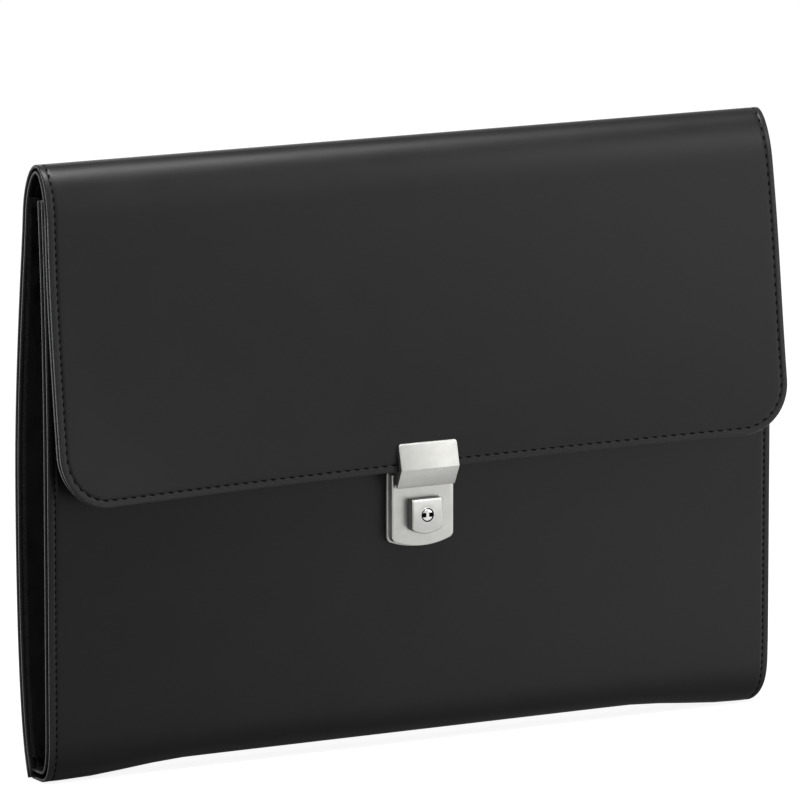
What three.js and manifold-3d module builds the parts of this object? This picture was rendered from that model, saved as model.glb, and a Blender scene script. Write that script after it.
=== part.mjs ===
// A conference folder of black leather, standing upright as it is photographed.
// A back panel runs over a rounded fold into a front flap. The flap covers the upper half of a
// pocket panel and is held by a push lock with a key cylinder. Millimetres, +Z up, front towards -Y.
import * as THREE from "three";
import { mergeVertices } from "three/addons/utils/BufferGeometryUtils.js";
import Module from "manifold-3d";

const wasm = await Module();
wasm.setup();

// Overall size
const width = 360;
const height = 265;

// Layers of a panel, from the outer face inwards
const leatherThickness = 1.4;
const boardThickness = 0.9;
const liningThickness = 1.4;
const pieceGap = 0.3;
const boardMargin = 6;

// Side profile: distances along Y from the crown of the fold, and heights above the base
const foldRise = 22;
const foldBackReach = 11;
const foldFrontReach = 11.8;
const bellyReach = 17;
const bellyHeight = 130;
const heelReach = 5.8;
const pocketFront = 13.3;
const mouthFront = 6;
const mouthDrop = 14.5;
const pocketStraightMargin = 22;
const bottomBend = 20;
const bottomFlatFront = 7;
const bottomFlatBack = 1.2;
const flapDrop = 142.5;
const flapFront = 22;
const flapCorner = 23;

// The base line rises between its two ends
const bottomLift = 3.3;
const footLength = 12;
const liftRamp = 60;
const liftHeight = 40;

// The fold bends in three equal turns, each about a hinge of its own. The angles are in degrees of
// the half turn over the top, and the back panel runs up the first of them
const foldTurns = 3;
const backLegAngle = 15;
const leatherFoldGap = 1.5;
const liningFoldGap = 4;
const halfTurn = 180;

// Side gussets
const gussetThickness = 1.2;
const gussetDepth = 14;
const gussetInset = 1.5;
const gussetFoot = 9;
const gussetGap = 0.8;

// Lock on the pocket panel
const lockWidth = 31.5;
const lockDrop = 34.8;
const lockHeight = 36;
const lockSagitta = 3.2;
const lockPlateThickness = 1.2;
const housingInset = 0.6;
const housingThickness = 3.1;
const housingFace = 1;
const housingWall = 3;
const housingDrop = 1.8;
const catchPocketDrop = 6.5;
const rimWidth = 1.6;

// Push slide with the key cylinder, which sits a little above its middle
const buttonWidth = 14.8;
const buttonHeight = 15.4;
const buttonSagitta = 2.2;
const buttonThickness = 4;
const buttonTravel = 3;
const stemWidth = 10;
const stemHeight = 10;
const cylinderRise = 14.7;
const cylinderOffset = 0.6;
const barrelRadius = 3.3;
const barrelWall = 0.35;
const plugRadius = 2.6;
const keyholeHeight = 2;
const keyholePost = 1.7;
const keyholeDepth = 4.5;
const slidePlateWidth = 16;
const slidePlateThickness = 1.2;
const slidePlateBelow = 6;
const boltWidth = 6;
const springRadius = 0.9;
const camRadius = 3;
const camReach = 5.4;
const camThickness = 1;

// Hasp on the flap
const haspWidth = 28.6;
const haspRise = 12;
const haspRidgeRise = 0.8;
const haspDrop = 7.8;
const haspThickness = 1.6;
const haspRidgeReach = 2.6;
const haspLipReturn = 3.4;
const catchWidth = 16;
const catchThickness = 1.2;
const catchRise = 2;
const catchWindow = 8;
const backingThickness = 1;
const backingMargin = 1;
const rivetRadius = 1.2;
const rivetHeadRadius = 2.2;
const rivetHeadThickness = 0.7;
const haspRivetSpacing = 18;
const lockRivetSpacing = 24;

const boardOffset = leatherThickness + pieceGap;
const liningOffset = boardOffset + boardThickness + pieceGap;
const panelThickness = liningOffset + liningThickness;
const halfWidth = width / 2;
const foldBase = height - foldRise;
const mouthHeight = height - mouthDrop;
const flapEdge = height - flapDrop;

// The lock and the hasp are placed from the edge of the flap
const lockBottom = flapEdge - lockDrop;
const lockTop = lockBottom + lockHeight;
const housingTop = flapEdge - housingDrop;
const catchPocketBottom = flapEdge - catchPocketDrop;
const catchHeight = catchPocketBottom + catchRise;
const cylinderHeight = lockBottom + cylinderRise;
const buttonBottom = cylinderHeight - buttonHeight / 2 - cylinderOffset;
const slidePlateBottom = cylinderHeight - slidePlateBelow;
const haspTop = flapEdge + haspRise;
const haspRidge = flapEdge + haspRidgeRise;
const haspBottom = flapEdge - haspDrop;
const pocketStraightTop = lockTop + pocketStraightMargin;

// Joining and cutting

function toSolid(geometry) {
  const bare = geometry.clone();
  bare.deleteAttribute("normal");
  bare.deleteAttribute("uv");
  const merged = mergeVertices(bare, 1e-4);
  const index = merged.index.array;
  return new wasm.Manifold(
    new wasm.Mesh({
      numProp: 3,
      vertProperties: new Float32Array(merged.attributes.position.array),
      triVerts: new Uint32Array(index),
    }),
  );
}

function toGeometry(solid) {
  const mesh = solid.getMesh();
  const geometry = new THREE.BufferGeometry();
  geometry.setAttribute("position", new THREE.BufferAttribute(mesh.vertProperties, 3));
  geometry.setIndex(new THREE.BufferAttribute(mesh.triVerts, 1));
  return geometry;
}

function cut(geometry, tools) {
  let solid = toSolid(geometry);
  for (const tool of tools) solid = solid.subtract(toSolid(tool));
  return toGeometry(solid);
}

function join(first, second) {
  return toGeometry(toSolid(first).add(toSolid(second)));
}

// Basic shapes

// A slab between two grids of points. Rows run along the sheet and columns across it, and
// a row step turned onto a column step by the right-hand rule points out of the outer face.
function slab(rows, columns, outerAt, innerAt) {
  const positions = [];
  for (const pointAt of [outerAt, innerAt]) {
    for (let row = 0; row <= rows; row++) {
      for (let column = 0; column <= columns; column++) {
        positions.push(...pointAt(row, column).toArray());
      }
    }
  }
  const layer = (rows + 1) * (columns + 1);
  const outer = (row, column) => row * (columns + 1) + column;
  const inner = (row, column) => layer + outer(row, column);
  const triangles = [];
  const quad = (a, b, c, d) => triangles.push(a, b, c, a, c, d);
  for (let row = 0; row < rows; row++) {
    for (let column = 0; column < columns; column++) {
      quad(outer(row, column), outer(row + 1, column), outer(row + 1, column + 1), outer(row, column + 1));
      quad(inner(row, column), inner(row, column + 1), inner(row + 1, column + 1), inner(row + 1, column));
    }
    quad(outer(row, 0), inner(row, 0), inner(row + 1, 0), outer(row + 1, 0));
    quad(outer(row, columns), outer(row + 1, columns), inner(row + 1, columns), inner(row, columns));
  }
  for (let column = 0; column < columns; column++) {
    quad(outer(0, column), outer(0, column + 1), inner(0, column + 1), inner(0, column));
    quad(outer(rows, column), inner(rows, column), inner(rows, column + 1), outer(rows, column + 1));
  }
  const geometry = new THREE.BufferGeometry();
  geometry.setAttribute("position", new THREE.Float32BufferAttribute(positions, 3));
  geometry.setIndex(triangles);
  return geometry;
}

// A plate drawn in X and Z that faces the front, from its back plane towards -Y
function plate(shape, back, thickness) {
  const settings = { depth: thickness, bevelEnabled: false, curveSegments: 10 };
  const geometry = new THREE.ExtrudeGeometry(shape, settings);
  const facing = new THREE.Matrix4().makeBasis(
    new THREE.Vector3(1, 0, 0),
    new THREE.Vector3(0, 0, 1),
    new THREE.Vector3(0, -1, 0),
  );
  return geometry.applyMatrix4(facing).translate(0, back, 0);
}

// A bar with a section drawn in Y and Z, centred across the width
function bar(shape, length) {
  const geometry = new THREE.ExtrudeGeometry(shape, { depth: length, bevelEnabled: false });
  const across = new THREE.Matrix4().makeBasis(
    new THREE.Vector3(0, 1, 0),
    new THREE.Vector3(0, 0, 1),
    new THREE.Vector3(1, 0, 0),
  );
  return geometry.applyMatrix4(across).translate(-length / 2, 0, 0);
}

function rectangle(wide, low, high) {
  return new THREE.Shape([
    new THREE.Vector2(-wide / 2, low),
    new THREE.Vector2(wide / 2, low),
    new THREE.Vector2(wide / 2, high),
    new THREE.Vector2(-wide / 2, high),
  ]);
}

// A rectangle whose lower side is an arc that sags by the sagitta
function shield(wide, low, high, sagitta) {
  const radius = (wide * wide / 4 + sagitta * sagitta) / (2 * sagitta);
  const halfAngle = Math.asin(wide / 2 / radius);
  const shape = new THREE.Shape();
  shape.moveTo(wide / 2, high);
  shape.lineTo(-wide / 2, high);
  shape.absarc(0, low + radius, radius, -Math.PI / 2 - halfAngle, -Math.PI / 2 + halfAngle, false);
  return shape;
}

function circle(x, z, radius) {
  const shape = new THREE.Shape();
  shape.absarc(x, z, radius, 0, 2 * Math.PI, false);
  return shape;
}

// Side profile

// A quarter of an ellipse behind the crown and a quarter of another before it, walked by the
// turning angle in degrees
class FoldArch extends THREE.Curve {
  constructor(from, to) {
    super();
    this.from = from;
    this.to = to;
  }

  turnAt(walked) {
    return THREE.MathUtils.degToRad(this.from + (this.to - this.from) * walked);
  }

  getPoint(walked) {
    const turn = this.turnAt(walked);
    const reach = turn < Math.PI / 2 ? foldBackReach : foldFrontReach;
    const around = Math.atan2(foldRise * Math.sin(turn), reach * Math.cos(turn));
    return new THREE.Vector2(reach * Math.cos(around), foldBase + foldRise * Math.sin(around));
  }
}

function smoothCurve(...points) {
  return new THREE.CubicBezierCurve(...points.map(([y, z]) => new THREE.Vector2(y, z)));
}

function chain(...curves) {
  const path = new THREE.CurvePath();
  for (const curve of curves) path.add(curve);
  return path;
}

const upperBack = foldBase - bellyHeight;
const flapFall = foldBase - flapEdge;
const mouthFall = mouthHeight - pocketStraightTop;
const backLeg = new FoldArch(0, backLegAngle);
const backProfile = chain(
  smoothCurve(
    [heelReach, 0],
    [bellyReach - 2, 0.15 * bellyHeight],
    [bellyReach, 0.58 * bellyHeight],
    [bellyReach, bellyHeight],
  ),
  smoothCurve(
    [bellyReach, bellyHeight],
    [bellyReach, bellyHeight + 0.4 * upperBack],
    [foldBackReach, foldBase - 0.25 * upperBack],
    [foldBackReach, foldBase],
  ),
  backLeg,
);
const flapProfile = smoothCurve(
  [-foldFrontReach, foldBase],
  [-foldFrontReach - 0.24 * (flapFront - foldFrontReach), foldBase - 0.33 * flapFall],
  [-flapFront + 0.34 * (flapFront - foldFrontReach), flapEdge + 0.28 * flapFall],
  [-flapFront, flapEdge],
);
const pocketProfile = chain(
  smoothCurve(
    [-mouthFront, mouthHeight],
    [-mouthFront - 0.1 * (pocketFront - mouthFront), mouthHeight - 0.28 * mouthFall],
    [-pocketFront + 0.14 * (pocketFront - mouthFront), pocketStraightTop + 0.4 * mouthFall],
    [-pocketFront, pocketStraightTop],
  ),
  new THREE.LineCurve(
    new THREE.Vector2(-pocketFront, pocketStraightTop),
    new THREE.Vector2(-pocketFront, bottomBend),
  ),
);
const bottomProfile = chain(
  smoothCurve(
    [-pocketFront, bottomBend],
    [-pocketFront, 0.4 * bottomBend],
    [-pocketFront + 0.2 * (pocketFront - bottomFlatFront), 0],
    [-bottomFlatFront, 0],
  ),
  new THREE.LineCurve(new THREE.Vector2(-bottomFlatFront, 0), new THREE.Vector2(bottomFlatBack, 0)),
);

// How far the base line is lifted at a place across the width, fading out upwards
function liftAt(x, z) {
  const fromFoot = Math.min(Math.max((halfWidth - footLength - Math.abs(x)) / liftRamp, 0), 1);
  const fade = Math.min(Math.max(1 - z / liftHeight, 0), 1);
  return bottomLift * fromFoot * fromFoot * (3 - 2 * fromFoot) * fade * fade;
}

// Places across a sheet: close together over the lifted ends, then one wide middle
function acrossStations(half) {
  const steps = [0, 0.3, 0.65, 1].map((share) => footLength + share * liftRamp);
  const left = [0, ...steps].map((step) => -half + step);
  return [...left, ...left.map((x) => -x).reverse()];
}

// A layer of a panel that follows a profile between two depths under its outer face
function layer(profile, rings, depth, thickness, across) {
  const points = rings.map((ring) => {
    const point = profile.getPointAt(ring.along);
    const tangent = profile.getTangentAt(ring.along);
    return { point, outward: new THREE.Vector2(tangent.y, -tangent.x) };
  });
  const at = (row, column, under) => {
    const { point, outward } = points[row];
    const stations = across(rings[row].half);
    const y = point.x - under * outward.x;
    const z = point.y - under * outward.y;
    return new THREE.Vector3(stations[column], y, z + liftAt(stations[column], point.y));
  };
  return slab(
    rings.length - 1,
    across(halfWidth).length - 1,
    (row, column) => at(row, column, depth),
    (row, column) => at(row, column, depth + thickness),
  );
}

const straightAcross = (half) => [-half, half];

function evenRings(from, to, count, half) {
  const rings = [];
  for (let i = 0; i <= count; i++) rings.push({ along: from + ((to - from) * i) / count, half });
  return rings;
}

// Rings up the back panel, closer together on its leg of the fold
function backRings(length) {
  const legStart = 1 - backLeg.getLength() / length;
  const leg = evenRings(legStart, 1 - pieceGap / length, 3, halfWidth);
  return [...evenRings(0, legStart, 12, halfWidth), ...leg.slice(1)];
}

// Rings along the flap that end in two round corners
function flapRings(startGap, endGap, sideGap) {
  const length = flapProfile.getLength();
  const radius = flapCorner - sideGap;
  const half = halfWidth - sideGap;
  const rings = evenRings(startGap / length, (length - endGap - radius) / length, 9, half);
  const cornerSteps = 6;
  for (let i = 1; i <= cornerSteps; i++) {
    const angle = ((Math.PI / 2) * i) / cornerSteps;
    const fromEdge = endGap + radius * (1 - Math.sin(angle));
    rings.push({ along: (length - fromEdge) / length, half: half - radius * (1 - Math.cos(angle)) });
  }
  return rings;
}

const finishes = {
  leather: { color: 0x1b1b1d, roughness: 0.45, metalness: 0 },
  lining: { color: 0x222224, roughness: 0.6, metalness: 0 },
  gusset: { color: 0x131315, roughness: 0.25, metalness: 0 },
  board: { color: 0x6b5a45, roughness: 0.9, metalness: 0 },
  nickel: { color: 0xc9c8c2, roughness: 0.35, metalness: 1 },
  chrome: { color: 0xe4e4e4, roughness: 0.12, metalness: 1 },
  steel: { color: 0x9a9a98, roughness: 0.4, metalness: 1 },
};

const folder = new THREE.Group();

function add(name, finish, geometry) {
  const mesh = new THREE.Mesh(geometry, new THREE.MeshStandardMaterial(finishes[finish]));
  mesh.name = name;
  folder.add(mesh);
}

// Where the rivets pass through the panels
const haspRivetHeight = (haspTop + flapEdge) / 2;
const lockRivetHeight = lockBottom + lockHeight / 2;
const rivetHoleRadius = rivetRadius + pieceGap;

function rivetHoles(spacing, rivetHeight) {
  const longest = 2 * (flapFront + bellyReach);
  return [-1, 1].map((side) =>
    plate(circle((side * spacing) / 2, rivetHeight, rivetHoleRadius), 0, longest),
  );
}

function backPanel() {
  const length = backProfile.getLength();
  const rings = backRings(length);
  const outer = layer(backProfile, rings, 0, leatherThickness, acrossStations);
  const lining = layer(backProfile, rings, liningOffset, liningThickness, acrossStations);
  const low = (liftHeight + boardMargin) / length;
  const high = 1 - (backLeg.getLength() + boardMargin) / length;
  const boardRings = evenRings(low, high, 9, halfWidth - boardMargin);
  add("back_leather", "leather", outer);
  add("back_lining", "lining", lining);
  add("back_board", "board", layer(backProfile, boardRings, boardOffset, boardThickness, straightAcross));
}

// One strip over the fold between two turning angles, in either layer
function foldStrip(from, to, depth, thickness) {
  const steps = 6;
  const arch = new FoldArch(from, to);
  const at = (row, column, under) => {
    const point = arch.getPoint(row / steps);
    const turn = arch.turnAt(row / steps);
    const y = point.x - under * Math.cos(turn);
    const z = point.y - under * Math.sin(turn);
    return new THREE.Vector3(column ? halfWidth : -halfWidth, y, z);
  };
  return slab(
    steps,
    1,
    (row, column) => at(row, column, depth),
    (row, column) => at(row, column, depth + thickness),
  );
}

// Each third of the fold is one strip of leather with one strip of lining under it
function fold() {
  const places = ["rear", "top", "front"];
  for (let i = 0; i < foldTurns; i++) {
    const low = i === 0 ? backLegAngle : (halfTurn * i) / foldTurns;
    const high = (halfTurn * (i + 1)) / foldTurns;
    for (const [layerName, gap, depth, thickness] of [
      ["leather", leatherFoldGap, 0, leatherThickness],
      ["lining", liningFoldGap, liningOffset, liningThickness],
    ]) {
      const from = low + (i === 0 ? 0 : gap);
      const to = high - (i === foldTurns - 1 ? 0 : gap);
      add("fold_" + layerName + "_" + places[i], layerName, foldStrip(from, to, depth, thickness));
    }
  }
}

function flap() {
  const holes = rivetHoles(haspRivetSpacing, haspRivetHeight);
  const rings = flapRings(pieceGap, 0, 0);
  const outer = layer(flapProfile, rings, 0, leatherThickness, straightAcross);
  const boardRings = flapRings(boardMargin, boardMargin, boardMargin);
  const board = layer(flapProfile, boardRings, boardOffset, boardThickness, straightAcross);
  const lining = layer(flapProfile, rings, liningOffset, liningThickness, straightAcross);
  add("flap_leather", "leather", cut(outer, holes));
  add("flap_board", "board", cut(board, holes));
  add("flap_lining", "lining", cut(lining, holes));
}

function pocketPanel() {
  const length = pocketProfile.getLength();
  const holes = rivetHoles(lockRivetSpacing, lockRivetHeight);
  const end = 1 - pieceGap / length;
  const rings = evenRings(0, end, 12, halfWidth);
  const outer = layer(pocketProfile, rings, 0, leatherThickness, acrossStations);
  const lining = layer(pocketProfile, rings, liningOffset, liningThickness, acrossStations);
  const low = 1 - (liftHeight - bottomBend + boardMargin) / length;
  const boardRings = evenRings(boardMargin / length, low, 9, halfWidth - boardMargin);
  const board = layer(pocketProfile, boardRings, boardOffset, boardThickness, straightAcross);
  add("pocket_leather", "leather", cut(outer, holes));
  add("pocket_lining", "lining", cut(lining, holes));
  add("pocket_board", "board", cut(board, holes));
}

// The bottom has no board, so its lining lies close to its leather
function bottomFold() {
  const rings = evenRings(0, 1, 10, halfWidth);
  const under = leatherThickness + pieceGap;
  add("bottom_leather", "leather", layer(bottomProfile, rings, 0, leatherThickness, acrossStations));
  add("bottom_lining", "lining", layer(bottomProfile, rings, under, liningThickness, acrossStations));
}

// The Y of a panel's inner face at a height, found along its profile
function innerFace(profile, z) {
  let low = 0;
  let high = 1;
  const rising = profile.getPointAt(1).y > profile.getPointAt(0).y;
  for (let i = 0; i < 30; i++) {
    const middle = (low + high) / 2;
    if (profile.getPointAt(middle).y > z === rising) high = middle;
    else low = middle;
  }
  const tangent = profile.getTangentAt(low);
  return profile.getPointAt(low).x - panelThickness / tangent.y;
}

// A gusset is one sheet folded inwards like a V between the two panels
function gusset(name, side) {
  const rows = 8;
  const edge = halfWidth - gussetInset;
  const top = mouthHeight - pieceGap;
  const at = (row, column, plusFace) => {
    const z = gussetFoot + ((top - gussetFoot) * row) / rows;
    const back = innerFace(backProfile, z) - gussetGap;
    const front = z > bottomBend
      ? innerFace(pocketProfile, z) + gussetGap
      : innerFace(pocketProfile, bottomBend + pieceGap) + gussetGap;
    const y = [back, (back + front) / 2, front][column];
    const outside = side * (edge - (column === 1 ? gussetDepth : 0));
    const inside = outside - side * gussetThickness;
    const x = plusFace === side > 0 ? outside : inside;
    return new THREE.Vector3(x, y, z + liftAt(outside, z));
  };
  const sheet = slab(
    rows,
    2,
    (row, column) => at(row, column, true),
    (row, column) => at(row, column, false),
  );
  add(name, "gusset", sheet);
}

// Lock: planes parallel to the pocket panel, counted from its outer face towards the front
const lockPlateBack = -pocketFront - pieceGap;
const housingBack = lockPlateBack - lockPlateThickness - pieceGap;
const housingFront = housingBack - housingThickness;
const cavityFront = housingFront + housingFace;
const slidePlateBack = (housingBack + cavityFront) / 2 + slidePlateThickness / 2;
const slidePlateFront = slidePlateBack - slidePlateThickness;
const buttonBack = housingFront - pieceGap;
const buttonFront = buttonBack - buttonThickness;
const plugBack = housingBack;
const camFront = plugBack + pieceGap;

function cylinderAlong(radius, back, front) {
  return plate(circle(0, cylinderHeight, radius), back, back - front);
}

function lockPlate() {
  const shape = shield(lockWidth, lockBottom, lockTop, lockSagitta);
  const camRoom = camReach + 2 * pieceGap;
  const window = plate(
    rectangle(2 * camRoom, cylinderHeight - buttonTravel - camRoom, cylinderHeight + camRoom),
    lockPlateBack + pieceGap,
    lockPlateThickness + 2 * pieceGap,
  );
  add("lock_plate", "nickel", cut(plate(shape, lockPlateBack, lockPlateThickness), [window]));
}

function lockHousing() {
  const wide = lockWidth - 2 * housingInset;
  const outline = shield(wide, lockBottom + housingInset, housingTop, lockSagitta);
  const body = plate(outline, housingBack, housingThickness);
  const cavityWidth = wide - 2 * housingWall;
  const cavityBottom = lockBottom + lockSagitta + housingInset;
  const cavity = plate(
    rectangle(cavityWidth, cavityBottom, catchPocketBottom + pieceGap),
    housingBack + pieceGap,
    housingThickness - housingFace + pieceGap,
  );
  const catchPocket = plate(
    rectangle(wide - 2 * rimWidth, catchPocketBottom, housingTop + pieceGap),
    housingBack + pieceGap,
    housingThickness + 2 * pieceGap,
  );
  const stemRoom = stemWidth / 2 + pieceGap;
  const stemSlot = plate(
    rectangle(
      2 * stemRoom,
      cylinderHeight - buttonTravel - stemHeight / 2 - pieceGap,
      cylinderHeight + stemHeight / 2 + pieceGap,
    ),
    cavityFront + pieceGap,
    housingFace + 2 * pieceGap,
  );
  add("lock_housing", "nickel", cut(body, [cavity, catchPocket, stemSlot]));
}

// The D-shaped slide is pushed down to draw the bolt
function button() {
  const outline = shield(buttonWidth, buttonBottom, buttonBottom + buttonHeight, buttonSagitta);
  const cap = plate(outline, buttonBack, buttonThickness);
  const stem = plate(
    rectangle(stemWidth, cylinderHeight - stemHeight / 2, cylinderHeight + stemHeight / 2),
    slidePlateFront - pieceGap,
    slidePlateFront - buttonBack,
  );
  const bore = cylinderAlong(barrelRadius + pieceGap, slidePlateFront, buttonFront - pieceGap);
  add("lock_button", "nickel", cut(join(cap, stem), [bore]));
}

function slidePlate() {
  const shape = rectangle(slidePlateWidth, slidePlateBottom, catchPocketBottom - pieceGap);
  const bolt = rectangle(boltWidth, catchPocketBottom - 2 * pieceGap, catchHeight - pieceGap);
  const [lower, upper] = [shape, bolt].map((part) => plate(part, slidePlateBack, slidePlateThickness));
  const whole = join(lower, upper);
  const bore = cylinderAlong(plugRadius + pieceGap, slidePlateBack + pieceGap, slidePlateFront - pieceGap);
  add("latch_bolt", "steel", cut(whole, [bore]));
}

function returnSpring() {
  const low = lockBottom + lockSagitta + housingInset + pieceGap;
  const high = slidePlateBottom - pieceGap;
  const spring = new THREE.CylinderGeometry(springRadius, springRadius, high - low, 10);
  spring.rotateX(Math.PI / 2).translate(0, slidePlateBack - slidePlateThickness / 2, (low + high) / 2);
  add("return_spring", "steel", spring);
}

function keyCylinder() {
  const barrel = cylinderAlong(barrelRadius, slidePlateFront - pieceGap, buttonFront);
  const barrelBore = cylinderAlong(barrelRadius - barrelWall, slidePlateFront, buttonFront - pieceGap);
  add("cylinder_barrel", "chrome", cut(barrel, [barrelBore]));
  const plugFront = buttonFront + pieceGap;
  const plug = cylinderAlong(plugRadius, plugBack, plugFront);
  const notches = [-1, 1].map((side) => {
    const wide = plugRadius;
    const notch = rectangle(wide, cylinderHeight - keyholeHeight / 2, cylinderHeight + keyholeHeight / 2);
    const offset = side * (keyholePost / 2 + wide / 2);
    return plate(notch, plugFront + keyholeDepth, keyholeDepth + pieceGap).translate(offset, 0, 0);
  });
  add("key_plug", "chrome", cut(plug, notches));
  const arm = rectangle(camReach, cylinderHeight - camRadius / 2, cylinderHeight + camRadius / 2);
  const disc = plate(circle(0, cylinderHeight, camRadius), camFront + camThickness, camThickness);
  const reach = plate(arm, camFront + camThickness, camThickness).translate(camReach / 2, 0, 0);
  add("lock_cam", "steel", join(disc, reach));
}

// A backing plate inside the panel, with two rivets through the panel to the metal in front
function backing(name, plateShape, back, spacing, rivetHeight, rivetFront) {
  const holes = rivetHoles(spacing, rivetHeight);
  add(name + "_backing", "steel", cut(plate(plateShape, back, backingThickness), holes));
  const headBack = back + pieceGap + rivetHeadThickness;
  for (const [label, side] of [["left", -1], ["right", 1]]) {
    const x = (side * spacing) / 2;
    const head = plate(circle(x, rivetHeight, rivetHeadRadius), headBack, rivetHeadThickness);
    const shank = plate(circle(x, rivetHeight, rivetRadius), headBack, headBack - rivetFront);
    add(name + "_rivet_" + label, "steel", join(head, shank));
  }
}

function lockBacking() {
  const shape = rectangle(lockWidth - 2 * backingMargin, lockBottom + lockSagitta, lockTop - backingMargin);
  const back = -pocketFront + panelThickness + pieceGap + backingThickness;
  backing("lock", shape, back, lockRivetSpacing, lockRivetHeight, -pocketFront);
}

// The Y of the flap's outer face at a height, on the nearly straight stretch at its edge
function flapFaceAt(z) {
  const edge = flapProfile.getPointAt(1);
  const tangent = flapProfile.getTangentAt(1);
  return edge.x + ((z - edge.y) * tangent.x) / tangent.y;
}

// The hasp is bent outwards to a ridge and back again towards the lock
function hasp() {
  const topBack = flapFaceAt(haspTop) - pieceGap;
  const ridgeBack = flapFaceAt(haspRidge) - pieceGap;
  const topFront = topBack - haspThickness;
  const ridgeFront = topFront - haspRidgeReach;
  const lipFront = ridgeFront + haspLipReturn;
  const section = new THREE.Shape([
    new THREE.Vector2(topBack, haspTop),
    new THREE.Vector2(topFront, haspTop),
    new THREE.Vector2(ridgeFront, haspRidge),
    new THREE.Vector2(lipFront, haspBottom),
    new THREE.Vector2(lipFront + haspThickness / 2, haspBottom + haspThickness / 4),
    new THREE.Vector2(ridgeBack, haspRidge - pieceGap),
  ]);
  add("hasp_plate", "nickel", bar(section, haspWidth));

  // The tongue points back from the lip into the catch pocket, over the bolt. It sits above the
  // lip's lower edge, where the lip leans away from it and leaves a small gap
  const tongueFront = lipFront + haspThickness / 2;
  const tongueBack = slidePlateBack;
  const tongue = bar(
    new THREE.Shape([
      new THREE.Vector2(tongueFront, catchHeight),
      new THREE.Vector2(tongueBack, catchHeight),
      new THREE.Vector2(tongueBack, catchHeight + catchThickness),
      new THREE.Vector2(tongueFront, catchHeight + catchThickness),
    ]),
    catchWidth,
  );
  const windowBack = tongueBack - catchThickness / 2;
  const window = bar(
    new THREE.Shape([
      new THREE.Vector2(windowBack - slidePlateThickness, catchHeight - pieceGap),
      new THREE.Vector2(windowBack, catchHeight - pieceGap),
      new THREE.Vector2(windowBack, catchHeight + catchThickness + pieceGap),
      new THREE.Vector2(windowBack - slidePlateThickness, catchHeight + catchThickness + pieceGap),
    ]),
    catchWindow,
  );
  add("hasp_tongue", "steel", cut(tongue, [window]));

  const backingLow = lockTop + pieceGap;
  const backingBack = flapFaceAt(haspTop) + panelThickness + pieceGap + backingThickness;
  const shape = rectangle(haspWidth - 2 * backingMargin, backingLow, haspTop);
  const rivetFront = flapFaceAt(haspRivetHeight + rivetRadius);
  backing("hasp", shape, backingBack, haspRivetSpacing, haspRivetHeight, rivetFront);
}

backPanel();
fold();
flap();
pocketPanel();
bottomFold();
gusset("gusset_left", -1);
gusset("gusset_right", 1);
lockPlate();
lockHousing();
button();
slidePlate();
returnSpring();
keyCylinder();
lockBacking();
hasp();

// The whole object is centred front to back over the origin
const frontmost = flapFaceAt(haspTop) - pieceGap - haspThickness - haspRidgeReach;
folder.position.y = -(frontmost + bellyReach) / 2;

export default folder;
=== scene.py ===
import math
import bpy
import bmesh
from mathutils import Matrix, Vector


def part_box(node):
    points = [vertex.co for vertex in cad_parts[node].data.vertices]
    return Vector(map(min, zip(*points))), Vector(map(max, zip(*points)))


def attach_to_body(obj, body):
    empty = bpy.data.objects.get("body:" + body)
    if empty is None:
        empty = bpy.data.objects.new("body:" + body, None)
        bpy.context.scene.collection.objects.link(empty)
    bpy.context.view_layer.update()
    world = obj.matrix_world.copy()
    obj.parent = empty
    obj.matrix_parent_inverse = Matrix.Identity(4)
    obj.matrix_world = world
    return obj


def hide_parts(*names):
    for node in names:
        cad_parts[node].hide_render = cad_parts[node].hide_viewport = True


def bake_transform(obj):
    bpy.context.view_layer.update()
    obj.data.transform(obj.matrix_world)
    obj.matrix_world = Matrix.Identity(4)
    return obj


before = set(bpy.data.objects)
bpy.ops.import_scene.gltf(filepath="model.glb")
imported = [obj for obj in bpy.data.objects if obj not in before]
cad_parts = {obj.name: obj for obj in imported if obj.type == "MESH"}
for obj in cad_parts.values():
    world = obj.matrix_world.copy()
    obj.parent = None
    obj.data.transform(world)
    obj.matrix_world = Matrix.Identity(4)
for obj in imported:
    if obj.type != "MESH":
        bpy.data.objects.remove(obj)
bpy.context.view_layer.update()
mm = 0.001
print("frame loaded")


# working in edit mode

def startClean():
    if bpy.context.mode != "OBJECT":
        bpy.ops.object.mode_set(mode="OBJECT")
    bpy.ops.object.select_all(action="DESELECT")


def makeActive(piece):
    startClean()
    piece.select_set(True)
    bpy.context.view_layer.objects.active = piece


def editPiece(piece):
    makeActive(piece)
    bpy.ops.object.mode_set(mode="EDIT")


def leaveEdit():
    bpy.ops.object.mode_set(mode="OBJECT")


def pick(piece, kind, test):
    # selects the faces or the edges that pass the test
    bpy.ops.mesh.select_all(action="DESELECT")
    bpy.ops.mesh.select_mode(type=kind)
    shape = bmesh.from_edit_mesh(piece.data)
    for part in shape.edges if kind == "EDGE" else shape.faces:
        if test(part):
            part.select_set(True)
    bmesh.update_edit_mesh(piece.data)


def block(name, low, high):
    # a cube between two corners, in millimetres
    startClean()
    middle = [(a + b) / 2 * mm for a, b in zip(low, high)]
    size = [(b - a) * mm for a, b in zip(low, high)]
    bpy.ops.mesh.primitive_cube_add(size=1, location=middle)
    piece = bpy.context.active_object
    piece.name = name
    piece.scale = size
    bpy.ops.object.transform_apply(location=True, rotation=True, scale=True)
    return piece


def crossCuts(axis, places):
    # cuts the whole mesh in edit mode by planes across an axis
    normal = [1 if i == axis else 0 for i in range(3)]
    for place in places:
        bpy.ops.mesh.select_all(action="SELECT")
        bpy.ops.mesh.bisect(plane_co=[place * mm * n for n in normal], plane_no=normal, threshold=1e-7)


def roundRims(piece, test, offset, steps):
    pick(piece, "EDGE", test)
    bpy.ops.mesh.bevel(offset=offset * mm, segments=steps, affect="EDGES")


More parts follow.
